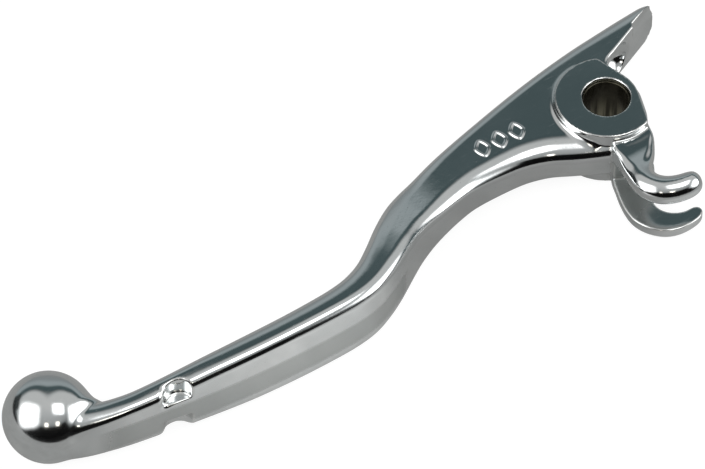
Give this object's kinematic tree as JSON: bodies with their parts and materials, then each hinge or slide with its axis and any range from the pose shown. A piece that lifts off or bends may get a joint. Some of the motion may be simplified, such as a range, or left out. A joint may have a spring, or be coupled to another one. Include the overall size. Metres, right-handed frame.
{
  "type": "clutch lever",
  "caption": "Ball-ended hand lever with a waisted, bent blade, bored pivot hub with sleeve, pointed stop flap and two-finger hook.",
  "frame": {"origin": "on the pivot axis at the middle of the hub's thickness", "axes": "+Z along the pivot axis, out of the face with the raised marks; +X from the ball end to the pivot; the blade is pulled towards -Y"},
  "size_m": [0.1811, 0.0506, 0.0198],
  "materials": {
    "bright_plated_alloy": "mirror polished and bright plated",
    "oiled_bronze": "plain turned bronze with a film of old grease"
  },
  "bodies": {
    "sleeve": {"pivot_sleeve": "oiled_bronze"},
    "lever": {"lever_forging": "bright_plated_alloy"}
  },
  "joints": [
    {"name": "lever_pull", "type": "hinge", "parent": "sleeve", "child": "lever", "pos_m": [0, 0, 0], "axis": [0, 0, 1], "range_deg": [0, 24]}
  ]
}
